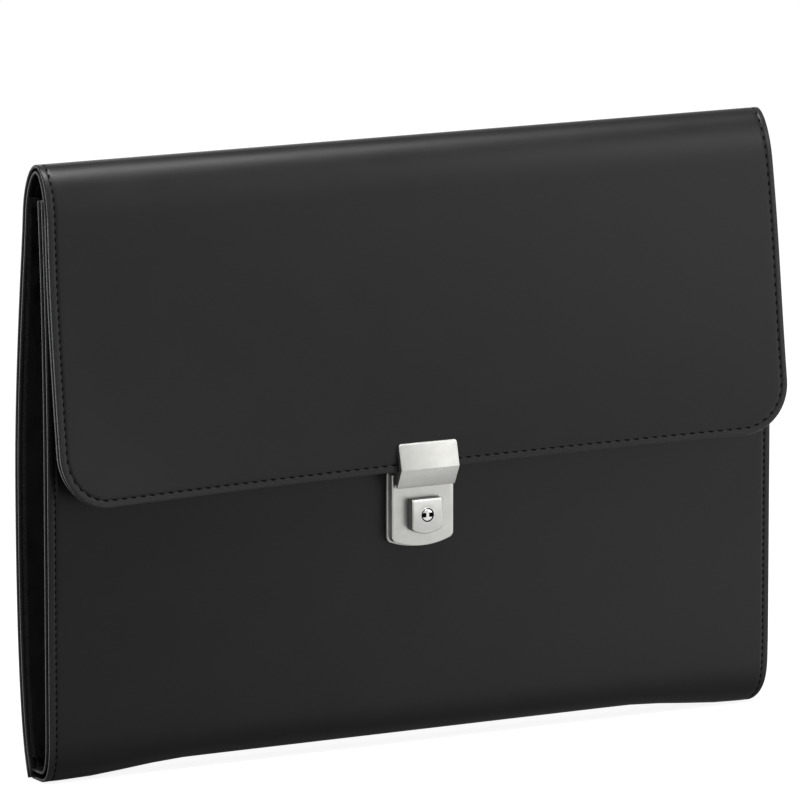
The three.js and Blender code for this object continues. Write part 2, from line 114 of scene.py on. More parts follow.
def finishModifier(piece, kind, **settings):
    makeActive(piece)
    modifier = piece.modifiers.new(kind.lower(), kind)
    for setting, value in settings.items():
        setattr(modifier, setting, value)
    bpy.ops.object.modifier_apply(modifier=modifier.name)


def smooth(piece, degrees=None):
    makeActive(piece)
    if degrees is None:
        bpy.ops.object.shade_smooth()
    else:
        bpy.ops.object.shade_smooth_by_angle(angle=math.radians(degrees))


def copyOf(piece, name):
    twin = piece.copy()
    twin.data = piece.data.copy()
    twin.name = name
    bpy.context.collection.objects.link(twin)
    return twin


def spread(low, high, step):
    count = max(1, round((high - low) / step))
    return [low + (high - low) * i / count for i in range(count + 1)]


# side profile, in millimetres: y from the middle of the fold towards the back, z from the base

profile = {
    "width": 357.6,
    "height": 265,
    "foldRise": 22,
    "crownForward": 2,      # how far the arch of the fold is moved forwards
    "foldBackReach": 11.9,
    "foldFrontReach": 9.8,
    "flapLean": 0.12,
    "bellyReach": 17,
    "bellyHeight": 126,
    "heelReach": 6.8,
    "pocketFront": 13.3,
    "mouthFront": 9.1,
    "mouthDrop": 14.5,
    "pocketStraightTop": 145.7,
    "bottomBend": 20,
    "bottomFlatFront": 3.5,
    "bottomFlatBack": 4.0,
    "flapDrop": 142.5,
    "flapFront": 22,
    "flapSkew": 2.2,        # how much lower the flap's edge hangs at its left end
    "flapStandOff": 8,      # of its two ends, which the hasp doesn't hold
    "crownDraw": 1.6,       # how much the ends of the fold are drawn in
    "crownSpread": 40,
    "pocketDraw": 0.8,
    "cornerPress": 6,       # of the pocket's lower right corner
    "pressStart": 0.8,      # where that begins, as a share of half the width
    "bottomRaise": 0.2,
    "bottomLift": 3.9,      # of the base line between its two ends
    "footLength": 12,
    "liftRamp": 60,
    "liftHeight": 40,
    "glueGap": 0.3,         # between the lock's plate and the pocket
}
half = profile["width"] / 2
foldBase = profile["height"] - profile["foldRise"]
flapEdge = profile["height"] - profile["flapDrop"]
mouth = profile["height"] - profile["mouthDrop"]
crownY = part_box("lock_plate")[1].y / mm + profile["pocketFront"] + profile["glueGap"]


def curve(a, b, c, d, steps=160):
    points = []
    for i in range(steps + 1):
        t = i / steps
        weights = [(1 - t) ** 3, 3 * t * (1 - t) ** 2, 3 * t * t * (1 - t), t ** 3]
        points.append(tuple(sum(w * p[k] for w, p in zip(weights, (a, b, c, d))) for k in (0, 1)))
    return points


def archPoint(turn):
    angle = math.radians(turn)
    reach = profile["foldBackReach"] if turn < 90 else profile["foldFrontReach"]
    rise = profile["foldRise"]
    around = math.atan2(rise * math.sin(angle), reach * math.cos(angle))
    lean = profile["flapLean"] * rise * (1 - math.sin(around)) if turn > 90 else 0
    return reach * math.cos(around) - profile["crownForward"] - lean, foldBase + rise * math.sin(around)


def makePath(*stretches):
    # one line of points with the distance walked to each
    points = []
    for stretch in stretches:
        points += stretch if not points else stretch[1:]
    walked = [0]
    for before, after in zip(points, points[1:]):
        walked.append(walked[-1] + math.dist(before, after))
    return {"points": points, "walked": walked, "length": walked[-1]}


def walkTo(path, point):
    nearest = min(range(len(path["points"])), key=lambda i: math.dist(path["points"][i], point))
    return path["walked"][nearest]


def atPath(path, along):
    # the place and the direction on a path, found by halving
    walked, points = path["walked"], path["points"]
    low, high = 0, len(walked) - 2
    while low < high:
        middle = (low + high + 1) // 2
        if walked[middle] <= along:
            low = middle
        else:
            high = middle - 1
    share = (along - walked[low]) / (walked[low + 1] - walked[low])

    def heading(i):
        before = points[max(i - 1, 0)]
        after = points[min(i + 1, len(points) - 1)]
        return Vector((after[0] - before[0], after[1] - before[1])).normalized()

    place = Vector(points[low]).lerp(Vector(points[low + 1]), share)
    direction = heading(low).lerp(heading(low + 1), share).normalized()
    return place, direction


def liftAt(x, z):
    # the base line rises between its two ends
    fromFoot = min(max((half - profile["footLength"] - abs(x)) / profile["liftRamp"], 0), 1)
    fade = min(max(1 - z / profile["liftHeight"], 0), 1)
    return profile["bottomLift"] * fromFoot ** 2 * (3 - 2 * fromFoot) * fade ** 2


def flapShift(x, along):
    # how far the hanging flap is moved forwards and down
    share = (along - turnMarks[3]) / (outerPath["length"] - turnMarks[3])
    if share <= 0:
        return 0, 0
    across = x / half
    return profile["flapStandOff"] * across ** 2 * share ** 2, -profile["flapSkew"] * across * share ** 2


def endDraw(path, x, along, z):
    # how far the leather is drawn in towards the middle of the folder
    if path is outerPath:
        fromCrown = (along - crownMark) / profile["crownSpread"]
        return profile["crownDraw"] * math.exp(-fromCrown ** 2) * x / half
    start = profile["pressStart"]
    nearCorner = max(x / half - start, 0) / (1 - start)
    press = profile["cornerPress"]
    return profile["pocketDraw"] * x / half + press * math.exp(-z / press) * nearCorner ** 2


def onPath(path, x, along, depth):
    # from a place on the flat leather to its place on the folder, in metres
    place, direction = atPath(path, along)
    y = place.x - depth * direction.y
    z = place.y + depth * direction.x
    x -= endDraw(path, x, along, place.y)
    if path is outerPath:
        forwards, down = flapShift(x, along)
        y -= forwards
        z -= down
    return Vector((x, y + crownY, z + liftAt(x, place.y))) * mm


# how far each curve runs on in the direction of its ends, as shares of its rise and its spread
handles = {
    "heelIn": 2,            # in millimetres
    "heelUp": 0.15,
    "bellyUp": 0.58,
    "upperLow": 0.4,
    "upperHigh": 0.25,
    "flapStart": 0.33,
    "flapEndIn": 0.16,
    "flapEndUp": 0.28,
    "mouthOut": 0.57,
    "mouthDown": 0.28,
    "straightIn": 0.12,
    "straightUp": 0.4,
    "bendDown": 0.4,
    "flatOut": 0.2,
}
belly, reach = profile["bellyHeight"], profile["bellyReach"]
pocketFront, straightTop = profile["pocketFront"], profile["pocketStraightTop"]
bottomBend, flatFront = profile["bottomBend"], profile["bottomFlatFront"]
upperBack = foldBase - belly
foldBack = profile["foldBackReach"] - profile["crownForward"]
flapStart = archPoint(180)
flapFront = profile["flapFront"]
flapFall = foldBase - flapEdge
flapSpread = flapFront + flapStart[0]
flapHandle = handles["flapStart"] * flapFall
mouthFront = profile["mouthFront"]
mouthFall = mouth - straightTop
mouthSpread = pocketFront - mouthFront
base = profile["bottomRaise"]

backStretch = curve(
    (profile["heelReach"], 0),
    (reach - handles["heelIn"], handles["heelUp"] * belly),
    (reach, handles["bellyUp"] * belly),
    (reach, belly),
    400,
)
upperStretch = curve(
    (reach, belly),
    (reach, belly + handles["upperLow"] * upperBack),
    (foldBack, foldBase - handles["upperHigh"] * upperBack),
    (foldBack, foldBase),
    400,
)
archStretch = [archPoint(0.5 * i) for i in range(361)]
flapStretch = curve(
    flapStart,
    (flapStart[0] - profile["flapLean"] * flapHandle, foldBase - flapHandle),
    (-flapFront + handles["flapEndIn"] * flapSpread, flapEdge + handles["flapEndUp"] * flapFall),
    (-flapFront, flapEdge),
    400,
)
pocketStretch = curve(
    (-mouthFront, mouth),
    (-mouthFront - handles["mouthOut"] * mouthSpread, mouth - handles["mouthDown"] * mouthFall),
    (-pocketFront + handles["straightIn"] * mouthSpread, straightTop + handles["straightUp"] * mouthFall),
    (-pocketFront, straightTop),
    300,
)
straightStretch = [(-pocketFront, straightTop), (-pocketFront, bottomBend)]
bottomStretch = curve(
    (-pocketFront, bottomBend),
    (-pocketFront, handles["bendDown"] * bottomBend),
    (-pocketFront + handles["flatOut"] * (pocketFront - flatFront), base),
    (-flatFront, base),
)
baseStretch = [(-flatFront, base), (profile["bottomFlatBack"], base)]

outerPath = makePath(backStretch, upperStretch, archStretch, flapStretch)
frontPath = makePath(pocketStretch, straightStretch, bottomStretch, baseStretch)
turnMarks = [walkTo(outerPath, archPoint(turn)) for turn in (0, 60, 120, 180)]
crownMark = walkTo(outerPath, archPoint(90))
bendMark = walkTo(frontPath, (-pocketFront, bottomBend))


# materials

def newMaterial(name):
    material = bpy.data.materials.new(name)
    material.use_nodes = True
    nodes = material.node_tree.nodes
    return material, nodes, material.node_tree.links, nodes["Principled BSDF"]


def millimetres(nodes, links, flat):
    # coordinates in millimetres, on the flat leather or in the piece's own space
    if flat:
        source = nodes.new("ShaderNodeUVMap")
        source.uv_map = "flat"
        socket = source.outputs["UV"]
    else:
        source = nodes.new("ShaderNodeTexCoord")
        socket = source.outputs["Object"]
    scale = nodes.new("ShaderNodeVectorMath")
    scale.operation = "SCALE"
    scale.inputs["Scale"].default_value = 1000
    links.new(socket, scale.inputs[0])
    return scale.outputs["Vector"]


def noise(nodes, links, where, scale, detail=2, rough=0.5, stretch=None):
    if stretch:
        mapping = nodes.new("ShaderNodeMapping")
        mapping.inputs["Scale"].default_value = stretch
        links.new(where, mapping.inputs["Vector"])
        where = mapping.outputs["Vector"]
    texture = nodes.new("ShaderNodeTexNoise")
    texture.inputs["Scale"].default_value = scale
    texture.inputs["Detail"].default_value = detail
    texture.inputs["Roughness"].default_value = rough
    links.new(where, texture.inputs["Vector"])
    return texture.outputs["Fac"]


def cells(nodes, links, where, scale):
    texture = nodes.new("ShaderNodeTexVoronoi")
    texture.inputs["Scale"].default_value = scale
    links.new(where, texture.inputs["Vector"])
    return texture.outputs["Distance"]


def ramp(nodes, links, value, stops):
    node = nodes.new("ShaderNodeValToRGB")
    while len(node.color_ramp.elements) < len(stops):
        node.color_ramp.elements.new(0.5)
    for element, (place, colour) in zip(node.color_ramp.elements, stops):
        element.position = place
        element.color = (*colour, 1) if len(colour) == 3 else (colour[0], colour[0], colour[0], 1)
    links.new(value, node.inputs["Fac"])
    return node.outputs["Color"]


def blendColours(nodes, links, share, first, second):
    node = nodes.new("ShaderNodeMix")
    node.data_type = "RGBA"
    links.new(share, node.inputs["Factor"])
    for socket, value in ((node.inputs[6], first), (node.inputs[7], second)):
        if isinstance(value, tuple):
            socket.default_value = (*value, 1)
        else:
            links.new(value, socket)
    return node.outputs[2]


def bump(nodes, links, height, strength, distance, before=None):
    node = nodes.new("ShaderNodeBump")
    node.inputs["Strength"].default_value = strength
    node.inputs["Distance"].default_value = distance * mm
    links.new(height, node.inputs["Height"])
    if before:
        links.new(before, node.inputs["Normal"])
    return node.outputs["Normal"]


def maths(nodes, links, operation, *values):
    node = nodes.new("ShaderNodeMath")
    node.operation = operation
    for socket, value in zip(node.inputs, values):
        if isinstance(value, (int, float)):
            socket.default_value = value
        else:
            links.new(value, socket)
    return node.outputs[0]


def between(nodes, links, value, places, levels):
    # a soft change from one level to another
    node = nodes.new("ShaderNodeMapRange")
    node.interpolation_type = "SMOOTHSTEP"
    links.new(value, node.inputs["Value"])
    node.inputs["From Min"].default_value, node.inputs["From Max"].default_value = places
    node.inputs["To Min"].default_value, node.inputs["To Max"].default_value = levels
    return node.outputs[0]


def leatherMaterial(look):
    material, nodes, links, shader = newMaterial(look["name"])
    where = millimetres(nodes, links, True)
    patches = noise(nodes, links, where, look["patchScale"], 3)
    body = ramp(nodes, links, patches, [(0.3, look["dark"]), (0.7, look["light"])])
    specks = noise(nodes, links, where, look["speckScale"], 4, 0.7)
    # near the cut edge the leather is lighter: rubbed wear speckled by noise, and a painted highlight
    # where the raised band catches light
    rim = nodes.new("ShaderNodeAttribute")
    rim.attribute_name = "rim"
    edgeBand = ramp(nodes, links, rim.outputs["Fac"], [(0.0, (1.0,)), (0.9, (0.7,)), (1.0, (0.0,))])
    wearAndHighlight = ramp(nodes, links, specks, [(0.42, look["rimDark"]), (0.6, look["rimLight"])])
    colour = blendColours(nodes, links, edgeBand, body, wearAndHighlight)
    links.new(colour, shader.inputs["Base Color"])
    gloss = ramp(nodes, links, patches, [(0.25, (look["roughLow"],)), (0.75, (look["roughHigh"],))])
    polished = blendColours(nodes, links, edgeBand, gloss, (look["rimRough"],) * 3)
    links.new(polished, shader.inputs["Roughness"])
    shader.inputs["IOR"].default_value = look["ior"]
    pebbles = cells(nodes, links, where, look["grainScale"])
    normal = bump(nodes, links, pebbles, look["grain"], look["grainDepth"])
    pores = noise(nodes, links, where, look["grainScale"] * look["poreFiner"], 2)
    normal = bump(nodes, links, pores, look["grain"] * look["poreShare"], look["poreDepth"], normal)
    folds = noise(nodes, links, where, look["foldScale"], 2, 0.4)
    normal = bump(nodes, links, folds, look["folds"], look["foldDepth"], normal)
    links.new(normal, shader.inputs["Normal"])
    return material


outsideLook = {
    "name": "leather_outside",
    "dark": (0.0022, 0.0022, 0.0026),
    "light": (0.0034, 0.0034, 0.0038),
    "rimDark": (0.005, 0.005, 0.0054),
    "rimLight": (0.014, 0.014, 0.015),
    "patchScale": 0.03,
    "speckScale": 1.1,
    "roughLow": 0.34,
    "roughHigh": 0.39,
    "rimRough": 0.3,
    "ior": 1.3,
    "grainScale": 1.5,
    "grain": 0.10,
    "grainDepth": 0.08,
    "poreFiner": 2.3,
    "poreShare": 0.8,
    "poreDepth": 0.05,
    "foldScale": 0.035,
    "folds": 0.05,
    "foldDepth": 2.0,
}
insideLook = {
    **outsideLook,
    "name": "leather_lining",
    "dark": (0.003, 0.003, 0.0034),
    "light": (0.0045, 0.0045, 0.005),
    "roughLow": 0.5,
    "roughHigh": 0.6,
    "ior": 1.26,
    "grainScale": 2.2,
    "grain": 0.16,
}
gussetLook = {
    **outsideLook,
    "name": "gusset_leather",
    "dark": (0.002, 0.002, 0.0022),
    "light": (0.0048, 0.0048, 0.0052),
    "rimLight": (0.02, 0.02, 0.022),
    "patchScale": 0.06,
    "roughLow": 0.2,
    "roughHigh": 0.3,
    "ior": 1.1,
    "grainScale": 1.1,
    "grain": 0.22,
    "foldScale": 0.12,
    "folds": 0.5,
}


def speckledMaterial(look):
    # one noise gives the tone, the gloss and the relief
    material, nodes, links, shader = newMaterial(look["name"])
    where = millimetres(nodes, links, look["flat"])
    specks = noise(nodes, links, where, look["scale"], look["detail"], 0.7)
    darkPlace, lightPlace = look["places"]
    tone = ramp(nodes, links, specks, [(darkPlace, look["dark"]), (lightPlace, look["light"])])
    links.new(tone, shader.inputs["Base Color"])
    gloss = ramp(nodes, links, specks, [(0.3, (look["roughLow"],)), (0.7, (look["roughHigh"],))])
    links.new(gloss, shader.inputs["Roughness"])
    shader.inputs["IOR"].default_value = look["ior"]
    relief = bump(nodes, links, specks, look["relief"], look["reliefDepth"])
    links.new(relief, shader.inputs["Normal"])
    return material


edgePaintHighlightLook = {
    # the turned edges are finished with a glossy paint that is a little rubbed; its light grey tone on
    # the crests is a painted highlight
    "name": "edge_paint_highlight",
    "flat": True,
    "dark": (0.045, 0.046, 0.048),
    "light": (0.1, 0.102, 0.105),
    "scale": 0.5,
    "detail": 4,
    "places": (0.35, 0.65),
    "roughLow": 0.2,
    "roughHigh": 0.34,
    "ior": 1.5,
    "relief": 0.15,
    "reliefDepth": 0.1,
}
keyholeShadeLook = {
    # near black, as painted shade in the keyhole and the gap round the plug
    "name": "keyhole_painted_shade",
    "flat": False,
    "dark": (0.002, 0.002, 0.002),
    "light": (0.012, 0.011, 0.01),
    "scale": 2.5,
    "detail": 4,
    "places": (0.35, 0.7),
    "roughLow": 0.8,
    "roughHigh": 0.8,
    "ior": 1.2,
    "relief": 0.4,
    "reliefDepth": 0.05,
}
boardLook = {
    "name": "grey_board",
    "flat": False,
    "dark": (0.2, 0.17, 0.13),
    "light": (0.42, 0.36, 0.28),
    "scale": 1.2,
    "detail": 5,
    "places": (0.35, 0.65),
    "roughLow": 0.9,
    "roughHigh": 0.9,
    "ior": 1.5,
    "relief": 0.4,
    "reliefDepth": 0.1,
}
threadLook = {
    "dark": (0.0008, 0.0008, 0.001),
    "light": (0.003, 0.003, 0.0033),
    "strandScale": 2.6,
    "twist": 1.5,
    "rough": 0.75,
    "ior": 1.1,
    "relief": 0.6,
    "reliefDepth": 0.08,
}


def threadMaterial(look):
    material, nodes, links, shader = newMaterial("thread")
    where = millimetres(nodes, links, False)
    strands = nodes.new("ShaderNodeTexWave")
    strands.inputs["Scale"].default_value = look["strandScale"]
    strands.inputs["Distortion"].default_value = look["twist"]
    links.new(where, strands.inputs["Vector"])
    strand = strands.outputs["Fac"]
    tone = ramp(nodes, links, strand, [(0.2, look["dark"]), (0.8, look["light"])])
    links.new(tone, shader.inputs["Base Color"])
    shader.inputs["Roughness"].default_value = look["rough"]
    shader.inputs["IOR"].default_value = look["ior"]
    relief = bump(nodes, links, strand, look["relief"], look["reliefDepth"])
    links.new(relief, shader.inputs["Normal"])
    return material


def metalMaterial(look):
    material, nodes, links, shader = newMaterial(look["name"])
    where = millimetres(nodes, links, False)
    clouds = noise(nodes, links, where, look["cloudScale"], 3)
    tone = ramp(nodes, links, clouds, [(0.3, look["dark"]), (0.7, look["light"])])
    links.new(tone, shader.inputs["Base Color"])
    shader.inputs["Metallic"].default_value = 1
    lines = noise(nodes, links, where, look["brushScale"], 3, 0.6, look["brushStretch"])
    gloss = ramp(nodes, links, lines, [(0.3, (look["roughLow"],)), (0.7, (look["roughHigh"],))])
    links.new(gloss, shader.inputs["Roughness"])
    normal = bump(nodes, links, lines, look["brush"], look["brushDepth"])
    scratches = noise(nodes, links, where, look["scratchScale"], 1, 0.4, look["scratchStretch"])
    thin = ramp(nodes, links, scratches, [(0.49, (0.0,)), (0.5, (1.0,)), (0.51, (0.0,))])
    normal = bump(nodes, links, thin, look["brush"] * look["scratchShare"], look["scratchDepth"], normal)
    links.new(normal, shader.inputs["Normal"])
    return material


nickelLook = {
    "name": "satin_nickel",
    "dark": (0.41, 0.408, 0.39),
    "light": (0.45, 0.448, 0.43),
    "roughLow": 0.32,
    "roughHigh": 0.4,
    "brushScale": 6,
    "brushStretch": (0.25, 1, 4),
    "brush": 0.12,
    "brushDepth": 0.02,
    "cloudScale": 0.25,
    "scratchScale": 0.9,
    "scratchStretch": (0.3, 1, 5),
    "scratchShare": 0.4,
    "scratchDepth": 0.01,
}
chromeLook = {
    **nickelLook,
    "name": "bright_chrome",
    "dark": (0.52, 0.52, 0.51),
    "light": (0.62, 0.62, 0.61),
    "roughLow": 0.14,
    "roughHigh": 0.22,
    "brush": 0.05,
}
# rougher nickel, dark as painted shade on the button's standing sides
shadedSideLook = {
    **nickelLook,
    "name": "painted_shade_nickel",
    "dark": (0.1, 0.099, 0.095),
    "light": (0.16, 0.158, 0.152),
    "roughLow": 0.42,
    "roughHigh": 0.55,
    "brush": 0.2,
}
bodyLook = {
    **shadedSideLook,
    "name": "brushed_nickel",
    "dark": (0.42, 0.417, 0.4),
    "light": (0.52, 0.516, 0.5),
}
steelLook = {
    **nickelLook,
    "name": "zinc_plated_steel",
    "dark": (0.42, 0.43, 0.45),
    "light": (0.6, 0.59, 0.56),
    "roughLow": 0.35,
    "roughHigh": 0.5,
    "brushScale": 3,
    "brush": 0.2,
}


outsideLeather = leatherMaterial(outsideLook)
insideLeather = leatherMaterial(insideLook)
gussetLeather = leatherMaterial(gussetLook)
edgePaintHighlight = speckledMaterial(edgePaintHighlightLook)
thread = threadMaterial(threadLook)
nickel = metalMaterial(nickelLook)
shadedSideNickel = metalMaterial(shadedSideLook)
brushed = metalMaterial(bodyLook)
chrome = metalMaterial(chromeLook)
steel = metalMaterial(steelLook)
keyholeShade = speckledMaterial(keyholeShadeLook)
board = speckledMaterial(boardLook)


def paint(piece, material):
    piece.data.materials.clear()
    piece.data.materials.append(material)


steelNames = (
    "latch_bolt", "return_spring", "lock_cam", "lock_backing", "lock_rivet",
    "hasp_tongue", "hasp_backing", "hasp_rivet",
)
for nodeName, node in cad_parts.items():
    if nodeName.startswith(steelNames):
        paint(node, steel)
print("materials made")


# sheets of leather, cut flat: x across, y along the profile, z up out of the outer face

sheet = {
    "thickness": 1.5,       # of each layer at its turned edge
    "longGap": 1.0,         # between the two layers at their edges
    "pocketGap": 1.7,
    "rim": 0.5,             # rounding of the turned edges
    "rimSteps": 3,
    "hollow": 0.55,         # how much thinner a layer is away from its edge
    "bandWidth": 2.2,       # from the rounding to the seam
    "bandStep": 0.5,        # of the band's slope down to the seam
    "bandSink": 0.06,
    "seamWidth": 0.9,
    "seamDepth": 0.3,
    "shoulder": 1.2,        # the leather swells a little beside its seam
    "shoulderRise": 0.03,
    "hollowInset": 4.0,
    "hollowSlope": 1.2,
    "cornerSteps": 16,
    "across": 15,           # spacing of the cuts across the width
    "sideCut": 8,           # from the side to the first of them
    "paintLean": 0.3,       # edge paint covers the faces that lean less than this
}


def depthOf(path):
    # of both layers together, at their edges
    gap = sheet["longGap"] if path is outerPath else sheet["pocketGap"]
    return 2 * sheet["thickness"] + gap


def flatSheet(name, length, top, corner, seamSide):
    # a slab of leather with rounded rims, a pressed seam on its seen side and a hollow behind
    piece = block(name, (-half, 0, top - sheet["thickness"]), (half, length, top))
    editPiece(piece)

    def isUpright(e):
        return abs(e.verts[0].co.z - e.verts[1].co.z) > mm

    def isLowCorner(e):
        return isUpright(e) and all(v.co.y > (length - 0.01) * mm for v in e.verts)

    if corner:
        roundRims(piece, isLowCorner, corner, sheet["cornerSteps"])
    roundRims(piece, lambda e: not isUpright(e), sheet["rim"], sheet["rimSteps"])
    seenSteps = [
        (sheet["bandWidth"] - sheet["bandStep"], 0),
        (sheet["bandStep"], -sheet["bandSink"]),
        (sheet["seamWidth"] / 2, -sheet["seamDepth"]),
        (sheet["seamWidth"] / 2, sheet["seamDepth"]),
        (sheet["shoulder"], sheet["shoulderRise"]),
    ]
    hiddenSteps = [
        (sheet["hollowInset"], 0),
        (sheet["hollowSlope"], -sheet["hollow"]),
    ]
    for side, steps in ((seamSide, seenSteps), (-seamSide, hiddenSteps)):
        pick(piece, "FACE", lambda f: f.normal.z * side > 0.99 and f.calc_area() > 1e-3)
        for inwards, rise in steps:
            bpy.ops.mesh.inset(thickness=inwards * mm, depth=rise * mm)
    leaveEdit()
    return piece


def rimDistance(x, along, length, corner):
    # distance from the cut edge of the sheet, in millimetres
    toSide = half - abs(x)
    toEnd = length - along
    if corner and toSide < corner and toEnd < corner:
        return corner - math.hypot(corner - toSide, corner - toEnd)
    return min(toSide, toEnd, along)


def layOut(piece, length, corner, cuts):
    # cuts the sheet for bending, and notes its flat coordinates and its rim
    editPiece(piece)
    crossCuts(1, cuts)
    side = half - sheet["sideCut"]
    crossCuts(0, spread(-side, side, sheet["across"]))
    leaveEdit()
    flat = piece.data.uv_layers[0]
    flat.name = "flat"
    rim = piece.data.attributes.new("rim", "FLOAT", "POINT")
    for vertex in piece.data.vertices:
        distance = rimDistance(vertex.co.x / mm, vertex.co.y / mm, length, corner)
        rim.data[vertex.index].value = min(max(distance / sheet["bandWidth"], 0), 1)
    for loop in piece.data.loops:
        place = piece.data.vertices[loop.vertex_index].co
        flat.data[loop.index].uv = (place.x + place.z, place.y)
    # the crest faces get the edge paint, whose light grey tone is a painted highlight
    for face in piece.data.polygons:
        onCrest = abs(face.normal.z) < sheet["paintLean"]
        face.material_index = 1 if onCrest else 0


def cutOut(whole, name, low, high):
    # a copy of the flat sheet between two places along it
    part = copyOf(whole, name)
    editPiece(part)
    for place, direction in ((low, -1), (high, 1)):
        if place is not None:
            bpy.ops.mesh.select_all(action="SELECT")
            bpy.ops.mesh.bisect(
                plane_co=(0, place * mm, 0), plane_no=(0, direction, 0), clear_outer=True, threshold=1e-7
            )
    leaveEdit()
    return part


def paintSheet(piece, material):
    marks = [face.material_index for face in piece.data.polygons]
    paint(piece, material)
    piece.data.materials.append(edgePaintHighlight)
    for face, mark in zip(piece.data.polygons, marks):
        face.material_index = mark


def foldUp(piece, path):
    for vertex in piece.data.vertices:
        vertex.co = onPath(path, vertex.co.x / mm, vertex.co.y / mm, -vertex.co.z / mm)
    piece.data.update()


# stitches lie along the pressed seam, slanted a little to its line

stitch = {
    "lowPitch": 4.6,        # along the flap's lower edge
    "leftPitch": 3.3,       # along the left side of the back, the fold and the flap
    "rightPitch": 4.0,
    "pocketPitch": 3.1,
    "length": 2.8,
    "width": 1.0,
    "height": 0.5,
    "sides": 8,
    "rings": 6,
    "slant": 13,
    "sink": 0.08,
    "uprightShare": 0.7,    # length of the stitches in the upright seams, as a share
    "cornerSteps": 12,
    "endGap": 1,            # from the end of a sheet to its seam
}
seamInset = sheet["rim"] + sheet["bandWidth"] + sheet["seamWidth"] / 2


def seamLines(low, high, corner):
    # a seam down the left side, round the two lower corners and up the right side, in the flat
    edge = half - seamInset
    bottom = high - seamInset
    radius = corner - seamInset
    arc = []
    for i in range(stitch["cornerSteps"] + 1):
        angle = math.radians(90 * i / stitch["cornerSteps"])
        x = -edge + radius * (1 - math.cos(angle))
        arc.append((x, bottom - radius + radius * math.sin(angle)))
    return [
        [(-edge, low), (-edge, bottom - radius)],
        arc,
        [(-edge + radius, bottom), (edge - radius, bottom)],
        [(-x, along) for x, along in reversed(arc)],
        [(edge, bottom - radius), (edge, low)],
    ]


def pitchOf(line):
    # the seams were sewn one after the other, each with its own pitch
    if line[0][0] != line[-1][0]:
        return stitch["lowPitch"]
    return stitch["rightPitch"] if line[0][0] > 0 else stitch["leftPitch"]


def walkSeam(points, pitch):
    # evenly spaced places along a line of points
    lengths = [math.dist(a, b) for a, b in zip(points, points[1:])]
    total = sum(lengths)
    count = max(1, round(total / pitch))
    places = []
    for i in range(count):
        goal = (i + 0.5) * total / count
        for (a, b), length in zip(zip(points, points[1:]), lengths):
            if goal <= length:
                share = goal / length
                angle = math.atan2(b[1] - a[1], b[0] - a[0])
                places.append((a[0] + (b[0] - a[0]) * share, a[1] + (b[1] - a[1]) * share, angle))
                break
            goal -= length
    return places


def oneStitch():
    startClean()
    sides, rings = stitch["sides"], stitch["rings"]
    bpy.ops.mesh.primitive_uv_sphere_add(segments=sides, ring_count=rings, radius=0.5 * mm)
    piece = bpy.context.active_object
    editPiece(piece)
    bpy.ops.mesh.select_all(action="SELECT")
    bpy.ops.transform.rotate(value=math.radians(90), orient_axis="Y", center_override=(0, 0, 0))
    bpy.ops.transform.resize(value=(stitch["length"], stitch["width"], stitch["height"]))
    leaveEdit()
    return piece


def sewSeam(name, places, top, side, path):
    # one mesh with a copy of the stitch at every place, bent with the sheet
    pattern = oneStitch()
    shape = bmesh.new()
    for x, along, angle in places:
        start = len(shape.verts)
        shape.from_mesh(pattern.data)
        shape.verts.ensure_lookup_table()
        turn = angle + math.radians(stitch["slant"])
        share = 1 if abs(math.cos(angle)) > 0.7 else stitch["uprightShare"]
        for vertex in shape.verts[start:]:
            dx, dy, dz = vertex.co / mm
            dx *= share
            flatX = x + dx * math.cos(turn) - dy * math.sin(turn)
            flatY = along + dx * math.sin(turn) + dy * math.cos(turn)
            depth = -(top - side * (sheet["seamDepth"] - stitch["sink"]) + dz)
            vertex.co = onPath(path, flatX, min(max(flatY, 0), path["length"]), depth)
    mesh = bpy.data.meshes.new(name)
    shape.to_mesh(mesh)
    shape.free()
    bpy.data.objects.remove(pattern)
    piece = bpy.data.objects.new(name, mesh)
    bpy.context.collection.objects.link(piece)
    paint(piece, thread)
    smooth(piece)
    return piece


# back panel, fold and flap: one long sheet outside and one inside, divided where the folder bends

outer = {
    "corner": 23,
    "backStep": 7,
    "foldStep": 0.8,
    "flapStep": 5,
    "firstCut": 4,
    "cornerTurn": 9,        # degrees between the cuts round the corners
}
zones = [
    ("back", None, 0, ("shell",)),
    ("fold_rear", 0, 1, ("shell", "fold_rear")),
    ("fold_top", 1, 2, ("fold_rear", "fold_top")),
    ("fold_front", 2, 3, ("fold_top", "flap")),
    ("flap", 3, None, ("flap",)),
]


def longCuts(path):
    cuts = spread(outer["firstCut"], turnMarks[0], outer["backStep"])
    for low, high in zip(turnMarks, turnMarks[1:]):
        cuts += spread(low, high, outer["foldStep"])[1:]
    corner = outer["corner"]
    cuts += spread(turnMarks[3], path["length"] - corner, outer["flapStep"])[1:]
    turns = range(outer["cornerTurn"], 90, outer["cornerTurn"])
    return cuts + [path["length"] - corner * (1 - math.sin(math.radians(turn))) for turn in turns]


def nodeOf(zone, layer):
    # the name of the CAD node that a piece stands for
    if zone.startswith("fold_"):
        return zone.replace("fold_", "fold_" + layer + "_")
    return zone + "_" + layer


def attach(piece, marks, bodies):
    # a sheet in one body is attached to it; a sheet that bends has its place baked in
    if len(bodies) == 1:
        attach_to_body(piece, bodies[0])
        return
    (start, startWay), (end, endWay) = [atPath(outerPath, mark) for mark in marks]
    chord = (end - start).normalized()
    depth = depthOf(outerPath)
    start += chord * abs(chord.dot(Vector((startWay.y, -startWay.x)))) * depth
    end -= chord * abs(chord.dot(Vector((endWay.y, -endWay.x)))) * depth
    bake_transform(piece)


